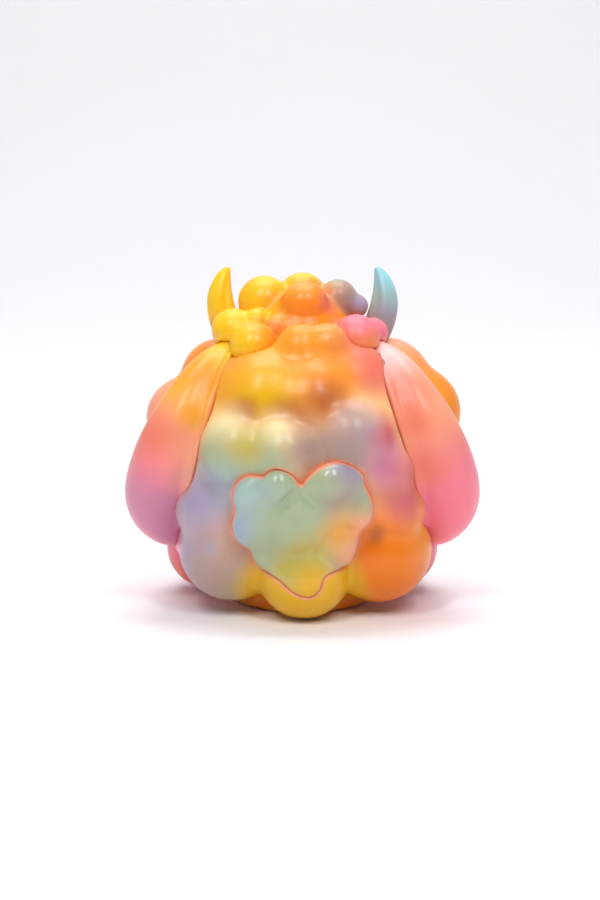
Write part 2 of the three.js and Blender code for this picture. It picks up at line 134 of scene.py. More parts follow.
class CloudToyPaint(PropertyGroup):
    gloss: share("Roughness", "Roughness of the satin vinyl", 0.36)
    heart_gloss: share("Heart roughness", "Roughness of the glossier heart", 0.25)
    glow: share("Glow", "How much light goes into the vinyl", 0.3)
    yellow: colour("Yellow", "Clear yellow", 253, 200, 25)
    amber: colour("Amber", "Golden orange", 240, 165, 45)
    orange: colour("Orange", "Bright orange", 246, 146, 30)
    tangerine: colour("Tangerine", "Deep orange", 238, 126, 0)
    # Rust serves as painted shade: in the body's folds, near the floor and over the magnets behind the
    # skin.
    rust: colour("Rust", "Brown orange of the folds", 190, 105, 45)
    coral: colour("Coral", "Pink orange", 238, 118, 98)
    salmon: colour("Salmon", "Light pink orange", 246, 160, 125)
    pink: colour("Pink", "Warm pink", 246, 125, 145)
    blush: colour("Blush", "Pale pink", 250, 190, 185)
    rose: colour("Rose", "Dark pink", 208, 100, 115)
    mauve: colour("Mauve", "Purple pink", 205, 128, 162)
    lilac: colour("Lilac", "Grey purple", 168, 156, 184)
    slate: colour("Slate", "Blue grey", 156, 168, 190)
    aqua: colour("Aqua", "Pale blue green", 148, 214, 224)
    mist: colour("Mist", "Pale grey blue of the heart", 165, 190, 188)
    sage: colour("Sage", "Grey green", 168, 182, 145)
    olive: colour("Olive", "Yellow green", 200, 182, 90)
    gold: colour("Gold", "Deep yellow", 234, 180, 10)
    cream: colour("Cream", "Pale yellow", 245, 222, 165)
    peach: colour("Peach", "Pale orange", 245, 188, 130)
    taupe: colour("Taupe", "Grey brown", 172, 145, 135)
    dark: colour("Dark", "Near black of the eyes", 32, 24, 32)
    # Umber on the base disc is painted shade under the toy.
    umber: colour("Umber", "Dark brown of the base disc", 120, 62, 24)


def shape():
    return bpy.context.scene.cloud_toy_shape


def paint():
    return bpy.context.scene.cloud_toy_paint


def in_mm(value):
    return value / MM


# ---- Distance fields -------------------------------------------------------------------------


def melt(a, b, softness):
    """The union of two fields, with a fillet where they meet that starts and ends gently."""
    reach = softness * 1.5
    near = np.maximum(reach - np.abs(a - b), 0.0) / reach
    return np.minimum(a, b) - near**3 * reach / 6


def carve(a, b, softness):
    """Field a with field b taken away, and the edge rounded."""
    return -melt(-a, b, softness)


def keep(a, b, softness):
    """What fields a and b share, with the edge rounded."""
    return -melt(-a, -b, softness)


def ball(points, middle, radius):
    return np.linalg.norm(points - middle, axis=1) - radius


FAR = 50.0


def within(points, low, high, field):
    """The field inside a box, and a large value outside it, where it has no effect."""
    inside = ((points > low) & (points < high)).all(1)
    values = np.full(len(points), FAR)
    if inside.any():
        values[inside] = field(points[inside])
    return values


def lobes(points, rows, softness, field=None):
    """Cloud lobes given as longitude, latitude, radius and how far they stand out."""
    for longitude, latitude, radius, proud in rows:
        lobe = ball(points, on_ball(longitude, latitude, proud - radius), radius)
        field = lobe if field is None else melt(field, lobe, softness)
    return field


def limb(points, line, radii):
    """A round body of changing thickness along a line of points."""
    field = None
    for start, end, first, last in zip(line[:-1], line[1:], radii[:-1], radii[1:]):
        along = end - start
        place = np.clip((points - start) @ along / (along @ along), 0.0, 1.0)
        away = np.linalg.norm(points - start - place[:, None] * along, axis=1)
        stretch = away - (first + (last - first) * place)
        field = stretch if field is None else np.minimum(field, stretch)
    return field


def smooth_between(a, b, c, d, t):
    """A place between b and c, on the smooth curve through a, b, c and d."""
    return 0.5 * (
        2 * b + (c - a) * t + (2 * a - 5 * b + 4 * c - d) * t**2 + (3 * b - a - 3 * c + d) * t**3
    )


def smooth_line(stations, count):
    """Points along a smooth curve through the stations."""
    stations = np.array(stations, float)
    rows = np.vstack([2 * stations[0] - stations[1], stations, 2 * stations[-1] - stations[-2]])
    places = np.linspace(0, len(stations) - 1, count)
    first = np.minimum(places.astype(int), len(stations) - 2)
    t = (places - first)[:, None]
    return smooth_between(*(rows[first + step] for step in range(4)), t)


# ---- From a field to a mesh ------------------------------------------------------------------

CORNERS = np.array([[x, y, z] for x in (0, 1) for y in (0, 1) for z in (0, 1)])
EDGES = [(a, b) for a in range(8) for b in range(a + 1, 8) if np.abs(CORNERS[a] - CORNERS[b]).sum() == 1]
SPAN = 1 << 20


def code(cells):
    """One whole number for each cell."""
    shifted = cells.astype(np.int64) + SPAN // 2
    return (shifted[:, 0] * SPAN + shifted[:, 1]) * SPAN + shifted[:, 2]


def cells_near(field, low, high, cell, halvings=4):
    """Cells that the surface may pass through, found by halving larger ones."""
    size = cell * 2**halvings
    first = np.floor(np.array(low) / size).astype(int)
    last = np.ceil(np.array(high) / size).astype(int)
    axes = [np.arange(first[axis], last[axis]) for axis in range(3)]
    cells = np.stack(np.meshgrid(*axes, indexing="ij"), -1).reshape(-1, 3)
    for halving in range(halvings + 1):
        middles = (cells + 0.5) * size
        cells = cells[np.abs(field(middles)) < size * 1.1]
        if halving < halvings:
            cells = (cells[:, None] * 2 + CORNERS[None]).reshape(-1, 3)
            size /= 2
    return cells


def onto_surface(field, points, step=0.02):
    """Points moved along the field's slope until it is zero."""
    values = field(points)
    slope = np.stack([field(points + offset) - values for offset in np.eye(3) * step], 1) / step
    return points - slope * (values / np.maximum((slope**2).sum(1), 0.2))[:, None]


def surface(field, low, high, cell):
    """Vertices and quads of the field's zero surface, one vertex in each cell that it crosses."""
    cells = cells_near(field, low, high, cell)
    corner_cells = (cells[:, None] + CORNERS[None]).reshape(-1, 3)
    unique, place = np.unique(code(corner_cells), return_index=True)
    values = field(corner_cells[place] * cell)
    corner = values[np.searchsorted(unique, code(corner_cells))].reshape(-1, 8)
    crossed = (corner.min(1) < 0) & (corner.max(1) >= 0)
    cells, corner = cells[crossed], corner[crossed]

    total = np.zeros((len(cells), 3))
    hits = np.zeros(len(cells))
    for a, b in EDGES:
        across = (corner[:, a] < 0) != (corner[:, b] < 0)
        step = corner[across, a] / (corner[across, a] - corner[across, b])
        total[across] += CORNERS[a] + (CORNERS[b] - CORNERS[a]) * step[:, None]
        hits[across] += 1
    vertices = (cells + total / hits[:, None]) * cell
    for _ in range(2):
        vertices = onto_surface(field, vertices)

    order = np.argsort(code(cells))
    codes = code(cells)[order]
    quads = []
    for axis in range(3):
        one, two = np.roll(np.eye(3, dtype=int), -axis, axis=0)[1:]
        end = 4 >> axis
        start_inside, end_inside = corner[:, 0] < 0, corner[:, end] < 0
        across = start_inside != end_inside
        ring = [
            order[np.searchsorted(codes, code(cells[across] - offset))]
            for offset in (0 * one, one, one + two, two)
        ]
        quad = np.stack(ring, 1)
        flip = end_inside[across]
        quad[flip] = quad[flip][:, ::-1]
        quads.append(quad)
    return vertices, np.concatenate(quads)


def relaxed(vertices, quads, rounds):
    """Vertices moved towards the middle of their neighbours, so that highlights run smoothly."""
    ends = np.concatenate([quads, np.roll(quads, -1, axis=1)]).reshape(2, -1)
    starts, stops = np.concatenate([ends, ends[::-1]], axis=1)
    count = np.bincount(starts, minlength=len(vertices))[:, None]
    for _ in range(rounds):
        total = [np.bincount(starts, vertices[stops, axis], len(vertices)) for axis in range(3)]
        vertices = vertices * 0.5 + np.stack(total, 1) / count * 0.5
    return vertices


def skin(name, field, low, high, cell, body, nodes, material, rounds=3, seam_glow=None):
    """Makes the piece, lets it ride on its body and puts it in place of its CAD nodes.

    The seam glow function gives each point its closeness to a seam, 1 on the seam and 0 away
    from it. A lighter colour is painted there, as painted glow over the shade in the groove.
    """
    vertices, quads = surface(field, low, high, cell)
    vertices = relaxed(vertices, quads, rounds)
    mesh = bpy.data.meshes.new(name)
    mesh.from_pydata((vertices * MM).tolist(), [], quads.tolist())
    mesh.polygons.foreach_set("use_smooth", np.ones(len(mesh.polygons), bool))
    mesh.materials.append(material)
    if seam_glow:
        closeness = mesh.attributes.new("seam_glow", "FLOAT", "POINT")
        closeness.data.foreach_set("value", seam_glow(vertices).astype(np.float32))
    piece = bpy.data.objects.new(name, mesh)
    bpy.context.scene.collection.objects.link(piece)
    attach(piece, body)
    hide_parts(*nodes)
    return piece


# ---- Paint -----------------------------------------------------------------------------------


def add_node(tree, kind, **sockets):
    node = tree.nodes.new(kind)
    for name, value in sockets.items():
        node.inputs[name.replace("_", " ")].default_value = value
    return node


def spray_group():
    """One pass of the airbrush: a ball of paint that fades out towards its reach."""
    group = bpy.data.node_groups.get("Spray pass")
    if group:
        return group
    group = bpy.data.node_groups.new("Spray pass", "ShaderNodeTree")
    for name, kind in (
        ("Under", "NodeSocketColor"),
        ("Paint", "NodeSocketColor"),
        ("Place", "NodeSocketVector"),
        ("Middle", "NodeSocketVector"),
        ("Core", "NodeSocketFloat"),
        ("Reach", "NodeSocketFloat"),
    ):
        group.interface.new_socket(name, in_out="INPUT", socket_type=kind)
    group.interface.new_socket("Colour", in_out="OUTPUT", socket_type="NodeSocketColor")
    entry = group.nodes.new("NodeGroupInput")
    result = group.nodes.new("NodeGroupOutput")
    away = group.nodes.new("ShaderNodeVectorMath")
    away.operation = "DISTANCE"
    fade = group.nodes.new("ShaderNodeMapRange")
    fade.interpolation_type = "SMOOTHSTEP"
    fade.inputs["To Min"].default_value = 1.0
    fade.inputs["To Max"].default_value = 0.0
    mix = group.nodes.new("ShaderNodeMix")
    mix.data_type = "RGBA"
    link = group.links.new
    link(entry.outputs["Place"], away.inputs[0])
    link(entry.outputs["Middle"], away.inputs[1])
    link(away.outputs["Value"], fade.inputs["Value"])
    link(entry.outputs["Core"], fade.inputs["From Min"])
    link(entry.outputs["Reach"], fade.inputs["From Max"])
    link(fade.outputs["Result"], mix.inputs["Factor"])
    link(entry.outputs["Under"], mix.inputs["A"])
    link(entry.outputs["Paint"], mix.inputs["B"])
    link(mix.outputs["Result"], result.inputs["Colour"])
    return group


def rgba(name):
    return (*getattr(paint(), name), 1.0)


def wander(tree, coordinates, scale, amount):
    """Coordinates pushed about a little, so that no spray ends in a perfect circle."""
    noise = add_node(tree, "ShaderNodeTexNoise", Scale=scale, Detail=1.0)
    centred = tree.nodes.new("ShaderNodeVectorMath")
    centred.operation = "MULTIPLY_ADD"
    centred.inputs[1].default_value = (amount,) * 3
    centred.inputs[2].default_value = (-amount / 2,) * 3
    total = tree.nodes.new("ShaderNodeVectorMath")
    total.operation = "ADD"
    tree.links.new(coordinates, noise.inputs["Vector"])
    tree.links.new(noise.outputs["Color"], centred.inputs[0])
    tree.links.new(coordinates, total.inputs[0])
    tree.links.new(centred.outputs["Vector"], total.inputs[1])
    return total.outputs["Vector"]


def airbrushed(name, base, sprays, roughness, coat=0.18, seam_glow=None):
    """Satin soft vinyl: a base colour, a run of sprays, fine grain and a thin clear coat.

    The seam glow colour is painted along a seam: partly the seam's own colour, partly painted
    glow that lightens the shade in its groove.
    """
    material = bpy.data.materials.new(name)
    material.use_nodes = True
    tree = material.node_tree
    link = tree.links.new
    shader = tree.nodes["Principled BSDF"]
    coordinates = tree.nodes.new("ShaderNodeTexCoord").outputs["Object"]
    place = wander(tree, coordinates, 45.0, 5 * MM)

    under = tree.nodes.new("ShaderNodeRGB")
    under.outputs[0].default_value = rgba(base)
    result = under.outputs[0]
    for spray, middle, core, reach in sprays:
        one = tree.nodes.new("ShaderNodeGroup")
        one.node_tree = spray_group()
        one.inputs["Paint"].default_value = rgba(spray)
        one.inputs["Middle"].default_value = tuple(np.array(middle) * MM)
        one.inputs["Core"].default_value = core * MM
        one.inputs["Reach"].default_value = reach * MM
        link(place, one.inputs["Place"])
        link(result, one.inputs["Under"])
        result = one.outputs["Colour"]

    # Painted glow along seams: a lighter colour where the groove would be in shade.
    if seam_glow:
        closeness = tree.nodes.new("ShaderNodeAttribute")
        closeness.attribute_name = "seam_glow"
        tint = tree.nodes.new("ShaderNodeMix")
        tint.data_type = "RGBA"
        tint.inputs["B"].default_value = rgba(seam_glow)
        link(closeness.outputs["Fac"], tint.inputs["Factor"])
        link(result, tint.inputs["A"])
        result = tint.outputs["Result"]

    mist = add_node(tree, "ShaderNodeTexNoise", Scale=2600.0, Detail=2.0)
    tone = add_node(tree, "ShaderNodeMapRange")
    tone.inputs["To Min"].default_value = 0.94
    tone.inputs["To Max"].default_value = 1.05
    grained = tree.nodes.new("ShaderNodeVectorMath")
    grained.operation = "SCALE"
    link(coordinates, mist.inputs["Vector"])
    link(mist.outputs["Fac"], tone.inputs["Value"])
    link(result, grained.inputs[0])
    link(tone.outputs["Result"], grained.inputs["Scale"])
    link(grained.outputs["Vector"], shader.inputs["Base Color"])

    wave = add_node(tree, "ShaderNodeTexNoise", Scale=900.0, Detail=3.0)
    bump = add_node(tree, "ShaderNodeBump", Strength=0.06, Distance=0.0002)
    link(coordinates, wave.inputs["Vector"])
    link(wave.outputs["Fac"], bump.inputs["Height"])
    link(bump.outputs["Normal"], shader.inputs["Normal"])

    shader.inputs["Roughness"].default_value = roughness
    shader.inputs["Coat Weight"].default_value = coat
    shader.inputs["Coat Roughness"].default_value = 0.25
    shader.inputs["IOR"].default_value = 1.4
    shader.inputs["Subsurface Weight"].default_value = paint().glow
    shader.inputs["Subsurface Radius"].default_value = (1.0, 0.55, 0.4)
    shader.inputs["Subsurface Scale"].default_value = 5 * MM
    return material


def around(rows, proud=4.0):
    """Sprays aimed at the ball by longitude and latitude."""
    return [
        (spray, on_ball(longitude, latitude, proud), core, reach)
        for spray, longitude, latitude, core, reach in rows
    ]


# ---- Body ------------------------------------------------------------------------------------

BODY_LOBES = [
    # back of the head
    [-27, 41, 17.5, 7.8],
    [7, 40, 17, 6.2],
    [41, 48, 14, 6.6],
    # middle row of the back
    [-32, 12, 13, 8],
    [-9, 12, 12, 6.4],
    [25, 18, 14, 8.4],
    [39, 1, 9.5, 7.3],
    # around the heart
    [-50, -18, 14, 8.5],
    [48, -17, 11, 8.1],
    # bottom of the back
    [-52, -43, 18, 14],
    [1, -50, 15.5, 15.2],
    [54, -42, 18, 15.5],
    # sides
    [-108, 41, 13.5, 8],
    [-103, 16, 14.5, 11.8],
    [107, 39, 15, 9.3],
    [103, 19, 16, 13.2],
    [-80, -34, 14, 9],
    [80, -34, 14, 9],
    # front, around the face
    [-129, 3, 15, 8.5],
    [129, 3, 15, 8.5],
    [-145, -22, 14, 9],
    [145, -22, 14, 9],
    [180, -32, 14, 10],
    [-138, 38, 15, 9],
    [138, 38, 15, 9],
    [180, 54, 15, 9],
]
BOTTOM_LOBE = BODY_LOBES[10]
# The ring around the base disc stands up to where it meets the ball.
BASE_RING_RADIUS = 24.0
BASE_RING_TOP = 12.5

# Sprays on the body, aimed at longitude and latitude, with the core and the reach in mm.
BODY_SPRAYS = [
    # back of the head
    ("amber", -30, 42, 8, 30),
    ("yellow", -50, 62, 2, 18),
    ("amber", -6, 58, 4, 28),
    ("orange", 4, 66, 2, 18),
    ("orange", -42, 52, 0, 14),
    ("orange", 8, 40, 2, 20),
    ("coral", 38, 50, 0, 17),
    ("orange", 22, 46, 0, 14),
    ("coral", 44, 44, 2, 16),
    # Rust in the crease under the back of the head is painted shade.
    ("rust", 10, 32, 0, 12),
    ("gold", -18, 33, 1, 18),
    ("rust", -6, 25, 0, 11),
    ("rust", -26, 25, 0, 9),
    # middle row
    # Cream on the tops of the two left lobes of the middle row is painted highlight.
    ("cream", -32, 18, 1, 13),
    ("cream", -10, 18, 1, 12),
    ("sage", -33, 4, 4, 19),
    ("sage", -14, 6, 2, 16),
    ("olive", -22, 13, 0, 9),
    ("taupe", 4, 12, 1, 15),
    ("lilac", 24, 17, 0, 15),
    ("taupe", 18, 10, 2, 15),
    ("taupe", 20, 24, 0, 9),
    ("rose", 34, 16, 0, 12),
    ("mauve", 34, 4, 0, 14),
    ("rose", 42, -3, 0, 15),
    # beside and below the heart
    ("mist", -32, -6, 1, 15),
    ("lilac", -44, -12, 1, 20),
    ("lilac", -62, -36, 6, 30),
    ("taupe", -38, -46, 4, 26),
    ("olive", -26, -54, 2, 19),
    ("mauve", -17, -50, 0, 6),
    ("orange", 46, -20, 2, 20),
    ("rose", 44, -12, 0, 13),
    ("tangerine", 46, -50, 14, 36),
    ("amber", 60, -28, 0, 15),
    ("tangerine", 30, -34, 0, 16),
    ("tangerine", 44, -34, 2, 20),
    ("gold", 2, -56, 17, 26),
    ("gold", 2, -66, 8, 18),
    # Rust low on the right, where the lobes meet the floor, is painted shade.
    ("rust", 56, -72, 0, 20),
    # sides
    ("orange", -100, 42, 6, 24),
    ("salmon", -98, 12, 8, 26),
    ("salmon", 108, 44, 3, 18),
    ("orange", 100, 20, 9, 30),
    ("pink", -80, -34, 6, 22),
    ("pink", 82, -36, 6, 22),
    # front
    ("yellow", 180, 60, 8, 30),
    ("peach", -135, 38, 6, 28),
    ("blush", 135, 38, 6, 28),
    ("pink", -130, 0, 6, 26),
    ("lilac", 130, 0, 6, 26),
    ("mauve", -145, -28, 4, 26),
    ("slate", 145, -28, 4, 26),
    ("aqua", 180, -32, 4, 24),
    # the ring around the base disc, in the shade: orange painted there as the warm shade under the toy
    ("orange", 0, -90, 24, 33),
    # painted shadow of the two magnets that lie behind the skin beside the heart
    ("slate", -42, -32, 1, 6),
    ("rust", 33, -25, 0, 5),
]


def ear_line(side, count=64):
    """Middle line of an ear, from root to tip."""
    stations = [on_ball(side * lon, lat, out) for lon, lat, out in EAR_LINE]
    return smooth_line(stations, count)


EAR_LINE = [
    [66, 58, 1],
    [61, 42, 2.4],
    [58, 22, 4.4],
    [63, 3, 6],
    [73, -14, 6.9],
    [81, -31, 5.4],
]
EAR_FULLNESS = 11.6
EAR_WIDEST = 0.74
EAR_ROOT_SHARE = 0.34
EAR_INNER = BALL_RADIUS + 1.4
EAR_CLEARANCE = 0.15
EAR_LIP_AWAY = 2.2
EAR_LIP_PROUD = 4.0


def ear_radii(count):
    """Half width along the ear: it swells towards the widest place and ends in a round tip."""
    places = np.linspace(0, 1, count)
    swell = np.sin(np.pi / 2 * np.minimum(places / EAR_WIDEST, 1)) ** 1.2
    tip = np.clip((places - EAR_WIDEST) / (1 - EAR_WIDEST), 0, 1)
    return EAR_FULLNESS * (EAR_ROOT_SHARE + (1 - EAR_ROOT_SHARE) * swell) * np.sqrt(1 - tip**2)


def turned(points, axis, degrees):
    """Points turned about an axis through the middle of the ball."""
    angle = np.radians(degrees)
    away = points - CENTRE
    along = (away @ axis)[:, None] * axis
    across = away - along
    return CENTRE + along + across * np.cos(angle) + np.cross(axis, across) * np.sin(angle)


def ear_outline(points, side, count=64):
    """The ear with its lip, before its inner side is cut to the ball."""
    line = ear_line(side, count)
    radii = ear_radii(len(line))
    return melt(limb(points, line, radii), ear_lip(points, side, line, radii), 4.0)


def ear_beside(line, side, away, proud):
    """The ear's line moved towards the middle of the back, at a set height over the ball."""
    inner = np.cross(np.gradient(line, axis=0), line - CENTRE) * side
    inner /= np.linalg.norm(inner, axis=1, keepdims=True)
    beside = line + inner * away[:, None] - CENTRE
    return CENTRE + beside * (BALL_RADIUS + proud) / np.linalg.norm(beside, axis=1, keepdims=True)


def ear_lip(points, side, line, radii):
    """The rolled lip beside the ear, across a hollow from it and close to the body."""
    ends = len(line) // 20
    lip = ear_beside(line, side, radii + EAR_LIP_AWAY, EAR_LIP_PROUD)[ends : -3 * ends]
    return limb(points, lip, np.full(len(lip), in_mm(shape().ear_lip)))


def ear_bank(points, side):
    """The swelling of the body that an ear's lip rests against."""
    line = ear_line(side, 12)
    bank = ear_beside(line, side, ear_radii(len(line)) + EAR_LIP_AWAY + 2.2, EAR_LIP_PROUD - 3.4)
    return limb(points, bank[1:-2], np.full(len(bank) - 3, 3.2))


def ear_sweep(points, side):
    """What an ear passes through as it swings forwards."""
    name = "right" if side > 0 else "left"
    joint = joint_named(f"ear_{name}_swing")
    axis = np.array(joint["axis"])
    line = ear_line(side, 20)
    radii = ear_radii(len(line))
    field = ear_outline(points, side, 20)
    for swing in np.linspace(*joint["range_deg"], 5)[1:]:
        field = np.minimum(field, limb(turned(points, axis, -swing), line, radii))
    return field - EAR_CLEARANCE


def ear_room(points, side):
    low, high = np.array([12, -50, 8]), np.array([66, 36, 104])
    if side < 0:
        low, high = low * [-1, 1, 1], high * [-1, 1, 1]
        low[0], high[0] = high[0], low[0]
    return within(points, low, high, lambda near: ear_sweep(near, side))


def body_field(points):
    softness = in_mm(shape().body_softness)
    field = ball(points, CENTRE, BALL_RADIUS)
    field = lobes(points, BODY_LOBES, softness, field)
    field = lobes(points, MERGED_CURLS, softness * 1.6, field)
    ring = np.hypot(points[:, 0], points[:, 1]) - BASE_RING_RADIUS
    field = melt(field, keep(ring, points[:, 2] - BASE_RING_TOP, 1.0), 2.0)
    for side in SIDES.values():
        field = melt(field, ear_bank(points, side), 3.0)
    bare = ball(points, CENTRE, BALL_RADIUS)
    for side in SIDES.values():
        field = carve(field, keep(ear_room(points, side), -bare, 1.0), 0.5)
        field = carve(field, foot_ball(points, side) - 0.3, 0.8)
    field = carve(field, curl_room(points), 0.6)
    heart_room = keep(heart_edge(points) + 0.3, HEART_SEAT_DEPTH - heart_top(points), 0.3)
    field = carve(field, heart_room, 0.5)
    field = carve(field, keep(face_edge(points) - 0.3, -bare, 0.4), 0.9)
    return keep(field, 0.6 - points[:, 2], 1.0)


def body_seam_glow(points):
    """Close to the heart's edge, and close to where an ear lies against the body: where painted
    glow lightens the shade in the grooves, and at the heart also where the seam's own colour goes.
    """
    closeness = heart_seam_glow(points)
    for side in SIDES.values():
        closeness = np.maximum(closeness, np.clip(1.2 - ear_room(points, side) / 0.8, 0, 0.8))
    return closeness


class CLOUDTOY_OT_body(Operator):
    """Make the lobed body"""

    bl_idname = "cloud_toy.body"
    bl_label = "Body"

    def execute(self, context):
        sprays = around(BODY_SPRAYS)
        # Salmon along the heart's and the ears' edges is painted glow over the shade in those grooves.
        material = airbrushed("Body paint", "peach", sprays, paint().gloss, seam_glow="salmon")
        skin(
            "body",
            body_field,
            (-60, -60, 0),
            (60, 60, 100),
            in_mm(shape().body_fineness),
            BODY,
            ["body_shell"],
            material,
            seam_glow=body_seam_glow,
        )
        return {"FINISHED"}


# ---- Curls -----------------------------------------------------------------------------------

CURLS = [
    # crown
    [-99, 76, 8.8, 18.4],
    [180, 84, 8.5, 17.8],
    [-4, 82, 6.9, 15.6],
    [14, 82, 6.9, 15.8],
    [104, 77, 6.5, 16.9],
    [99, 70, 4, 13.6],
    # fringe over the back, from left to right
    [-70, 61, 7.4, 13.2],
    [-58, 69, 4.6, 10.4],
    [-34, 72, 3.2, 7.4],
    [-40, 58, 8, 10.8],
    [49, 61, 8, 11.6],
    [70, 60, 5.2, 10.4],
    # fringe over the front
    [-150, 68, 7.5, 8],
    [150, 68, 7.5, 8],
    [180, 66, 7, 7.5],
]
# Curls that run down into the back of the head.
MERGED_CURLS = [
    [-2, 59, 7, 10.4],
    [21, 60, 5.4, 9.8],
]
DOME_RADIUS = 18
DOME_PROUD = 12

# Sprays on the curls: x, y and z from the middle of the ball, with the core and the reach in mm.
CURL_SPRAYS = [
    ("yellow", -22, -8, 46, 6, 22),
    ("yellow", -12, 2, 60, 2, 15),
    ("amber", -9, -4, 53, 0, 7),
    ("yellow", 0, 8, 62, 4, 10),
    ("yellow", -20, -24, 40, 2, 12),
    ("orange", -10, -18, 44, 0, 10),
    ("peach", -9, -18, 48, 0, 6),
    ("orange", 1, -14, 52, 5, 14),
    ("amber", -2, -8, 60, 0, 8),
    ("coral", 9, -10, 55, 0, 7),
    ("sage", 12, 4, 60, 2, 9),
    ("taupe", 14, 0, 54, 3, 9),
    ("lilac", 19, 0, 52, 1, 6),
    ("orange", 8, -18, 46, 1, 9),
    ("pink", 18, -16, 46, 4, 11),
    ("coral", 14, -22, 38, 1, 9),
    ("pink", 24, -10, 44, 3, 9),
    ("coral", 24, -14, 38, 0, 6),
    ("yellow", 0, 30, 45, 6, 22),
]


def curl_heap(points):
    middle = CENTRE + [0, 0, BALL_RADIUS + DOME_PROUD - DOME_RADIUS]
    field = ball(points, middle, DOME_RADIUS)
    return lobes(points, CURLS, in_mm(shape().curl_softness), field)


def curl_room(points):
    return within(points, (-40, -44, 78), (40, 44, 120), lambda near: curl_heap(near) - 0.15)


def curl_field(points):
    field = curl_heap(points)
    field = keep(field, -ball(points, CENTRE, BALL_RADIUS - 1), 0.5)
    for name, side in SIDES.items():
        field = carve(field, ear_room(points, side), 0.8)
        field = carve(field, horn_room(points, name), 0.8)
    return field


class CLOUDTOY_OT_curls(Operator):
    """Make the cap of curls"""

    bl_idname = "cloud_toy.curls"
    bl_label = "Curls"

    def execute(self, context):
        sprays = [(spray, CENTRE + place, core, reach) for spray, *place, core, reach in CURL_SPRAYS]
        material = airbrushed("Curl paint", "orange", sprays, paint().gloss)
        cell = in_mm(shape().detail_fineness)
        low, high = (-36, -32, 80), (36, 34, 116)
        skin("curls", curl_field, low, high, cell, BODY, ["curl_cap"], material)
        return {"FINISHED"}


# ---- Horns -----------------------------------------------------------------------------------

HORN_RADIUS = 5.1
HORN_RISE = 23.2
HORN_CURL = 10.6
HORN_SEAT = 1.2

# Sprays on a horn: height over its foot, lean inwards, core and reach.
HORN_SPRAYS = {
    "left": ("yellow", [("orange", 0, 1, 5, 14)]),
    "right": (
        "slate",
        [
            ("rust", 0, 0, 5, 13),
            ("taupe", 8, 0, 2, 10),
            ("sage", 14, 7, 1, 8),
            ("mist", 18, 4, 3, 10),
            ("aqua", 24, 6, 1, 11),
        ],
    ),
}


def horn_frame(name):
    """Foot of a horn on the ball, the way it rises and the way its tip leans."""
    out = np.array(joint_named(f"horn_{name}_twist")["axis"])
    inwards = np.array([-SIDES[name], 0, 0]) - out * (-SIDES[name] * out[0])
    return CENTRE + out * BALL_RADIUS, out, inwards / np.linalg.norm(inwards)


def horn_line(name, count=40):
    foot, out, inwards = horn_frame(name)
    t = np.linspace(0, 1, count)[:, None]
    rise = 2 * t * (1 - t) * HORN_RISE * 0.75 + t**2 * HORN_RISE
    return foot + rise * out + t**2 * HORN_CURL * inwards


def horn_radii(count):
    t = np.linspace(0, 1, count)
    return HORN_RADIUS * (1 - t**2.6) ** 0.75 + 0.7 * t**6


def horn_room(points, name):
    """What a horn passes through as it turns on its peg."""
    joint = joint_named(f"horn_{name}_twist")
    axis = np.array(joint["axis"])
    line = horn_line(name, 10)
    radii = horn_radii(10) + 0.4
    field = None
    for twist in np.linspace(*joint["range_deg"], 5):
        turn = limb(turned(points, axis, -twist), line, radii)
        field = turn if field is None else np.minimum(field, turn)
    return field


def horn_field(points, name):
    """The horn, with soft ridges that run from its foot to its tip."""
    foot, out, inwards = horn_frame(name)
    line = horn_line(name)
    field = limb(points, line, horn_radii(len(line)))
    away = points - foot
    rise = away @ out
    lean = np.clip(rise / HORN_RISE, 0, 1) ** 2.2 * HORN_CURL
    angle = np.arctan2(away @ np.cross(out, inwards), away @ inwards - lean)
    fade = np.clip(rise / 8, 0, 1) * np.clip((HORN_RISE - rise) / 6, 0, 1)
    field = field + in_mm(shape().horn_ridge) * np.cos(5 * angle + 0.6) * fade
    return keep(field, HORN_SEAT + 0.3 - rise, 0.5)


def horn_sprays(name, rows):
    foot, out, inwards = horn_frame(name)
    return [
        (spray, foot + out * rise + inwards * lean, core, reach)
        for spray, rise, lean, core, reach in rows
    ]


class CLOUDTOY_OT_horns(Operator):
    """Make the two horns"""

    bl_idname = "cloud_toy.horns"
    bl_label = "Horns"

    def execute(self, context):
        for name in SIDES:
            base, rows = HORN_SPRAYS[name]
            material = airbrushed(f"Horn paint {name}", base, horn_sprays(name, rows), paint().gloss)
            foot = horn_frame(name)[0]
            skin(
                f"horn_{name}_skin",
                lambda points: horn_field(points, name),
                foot - [16, 10, 6],
                foot + [16, 10, 32],
                in_mm(shape().detail_fineness),
                f"horn_{name}_body",
                [f"horn_{name}"],
                material,
            )
        return {"FINISHED"}


# ---- Ears ------------------------------------------------------------------------------------

EAR_SPRAYS = {
    "left": (
        "salmon",
        [
            ("yellow", -66, 54, 12, 36),
            ("amber", -60, 36, 4, 22),
            ("pink", -84, 6, 4, 20),
            ("coral", -60, 12, 2, 14),
            ("pink", -62, 0, 3, 16),
            ("mauve", -66, -10, 6, 19),
            ("mauve", -60, -26, 6, 20),
            ("lilac", -54, -36, 2, 15),
            ("taupe", -46, -20, 2, 13),
            ("orange", -44, 38, 1, 14),
            ("amber", -44, 22, 1, 11),
            ("taupe", -43, -2, 1, 11),
        ],
    ),
    "right": (
        "salmon",
        [
            ("blush", 56, 54, 8, 28),
            ("salmon", 62, 24, 4, 22),
            ("orange", 80, 14, 0, 14),
            ("pink", 64, -2, 5, 22),
            ("pink", 60, -16, 4, 18),
            ("pink", 76, -24, 10, 28),
            ("coral", 44, 32, 0, 14),
            ("coral", 44, 18, 0, 12),
            ("coral", 46, 0, 1, 14),
            ("coral", 62, -30, 0, 12),
        ],
    ),
}


def ear_field(points, side):
    return keep(ear_outline(points, side), -ball(points, CENTRE, EAR_INNER), 1.4)


